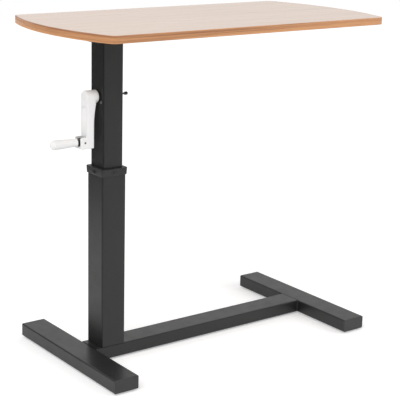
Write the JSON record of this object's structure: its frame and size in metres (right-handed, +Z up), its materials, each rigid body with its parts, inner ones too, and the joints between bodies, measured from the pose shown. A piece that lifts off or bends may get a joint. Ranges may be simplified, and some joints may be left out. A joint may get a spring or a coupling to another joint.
{
  "type": "overbed table",
  "caption": "Overbed table: wood-faced top with bowed ends on a square telescopic column, raised by a folding hand crank, standing on an H-shaped floor frame of black steel tube.",
  "frame": {"origin": "on the floor, below the middle of the tabletop", "axes": "+Z up; +X along the tabletop towards its free end, away from the column; +Y across the tabletop"},
  "size_m": [0.8, 0.4, 0.75],
  "materials": {
    "frame_coating": "satin black powder coat",
    "black_plastic": "moulded, matt black",
    "zinc": "zinc plated",
    "dark_steel": "black oxide",
    "brass": "machined",
    "white_plastic": "moulded, satin white",
    "wood_laminate": "pale wood-grain laminate, satin",
    "wood_edging": "wood-grain edge band"
  },
  "bodies": {
    "base": {"post_foot_tube": "frame_coating", "free_foot_tube": "frame_coating", "base_beam_tube": "frame_coating", "post_foot_cap_near": "black_plastic", "post_foot_cap_far": "black_plastic", "free_foot_cap_near": "black_plastic", "free_foot_cap_far": "black_plastic", "post_foot_glide_near": "black_plastic", "post_foot_glide_far": "black_plastic", "free_foot_glide_near": "black_plastic", "free_foot_glide_far": "black_plastic", "outer_post_tube": "frame_coating", "post_base_plate": "frame_coating", "post_bolt_outer": "zinc", "post_bolt_inner": "zinc", "nut_pillar": "frame_coating", "lift_nut": "brass", "guide_collar": "black_plastic", "collar_screw_1": "dark_steel", "collar_screw_2": "dark_steel", "collar_screw_3": "dark_steel", "collar_screw_4": "dark_steel"},
    "lift": {"inner_post_tube": "frame_coating", "lower_guide_shoe": "black_plastic", "top_rail_tube": "frame_coating", "top_rail_cap_post": "black_plastic", "top_rail_cap_free": "black_plastic", "cross_plate_post": "frame_coating", "cross_plate_free": "frame_coating", "top_screw_post_1": "zinc", "top_screw_post_2": "zinc", "top_screw_post_3": "zinc", "top_screw_post_4": "zinc", "top_screw_free_1": "zinc", "top_screw_free_2": "zinc", "top_screw_free_3": "zinc", "top_screw_free_4": "zinc", "tabletop_board": "wood_laminate", "edge_band": "wood_edging", "gear_bracket": "frame_coating", "crank_bush": "black_plastic", "far_bush": "black_plastic", "thrust_bearing": "zinc", "gearbox_screw_near_1": "zinc", "gearbox_screw_near_2": "zinc", "gearbox_screw_far_1": "zinc", "gearbox_screw_far_2": "zinc"},
    "lead_screw": {"lead_screw": "zinc", "driven_gear": "brass"},
    "crank": {"crank_shaft": "dark_steel", "drive_gear": "brass", "crank_arm": "white_plastic", "hub_screw": "dark_steel", "hub_plug": "white_plastic", "knob_hinge_pin": "dark_steel", "shaft_end_nut": "dark_steel"},
    "knob_carrier": {"knob_spindle": "dark_steel"},
    "knob": {"crank_knob": "white_plastic"}
  },
  "joints": [
    {"name": "column_lift", "type": "slide", "parent": "base", "child": "lift", "axis": [0, 0, 1], "range_m": [-0.11, 0.18]},
    {"name": "screw_turn", "type": "hinge", "parent": "lift", "child": "lead_screw", "pos_m": [-0.25, 0, 0.5945], "axis": [0, 0, 1], "range_deg": [-12961, 7921]},
    {"name": "crank_turn", "type": "hinge", "parent": "lift", "child": "crank", "pos_m": [-0.25, 0, 0.5945], "axis": [1, 0, 0], "range_deg": [-7921, 12961]},
    {"name": "knob_fold", "type": "hinge", "parent": "crank", "child": "knob_carrier", "pos_m": [-0.313, 0, 0.4995], "axis": [0, 1, 0], "range_deg": [0, 90]},
    {"name": "knob_spin", "type": "hinge", "parent": "knob_carrier", "child": "knob", "pos_m": [-0.313, 0, 0.4995], "axis": [-1, 0, 0], "continuous": true}
  ],
  "couplings": [
    {"joint": "screw_turn", "follows": "column_lift", "rad_per_m": -1256.6},
    {"joint": "crank_turn", "follows": "column_lift", "rad_per_m": 1256.6}
  ]
}
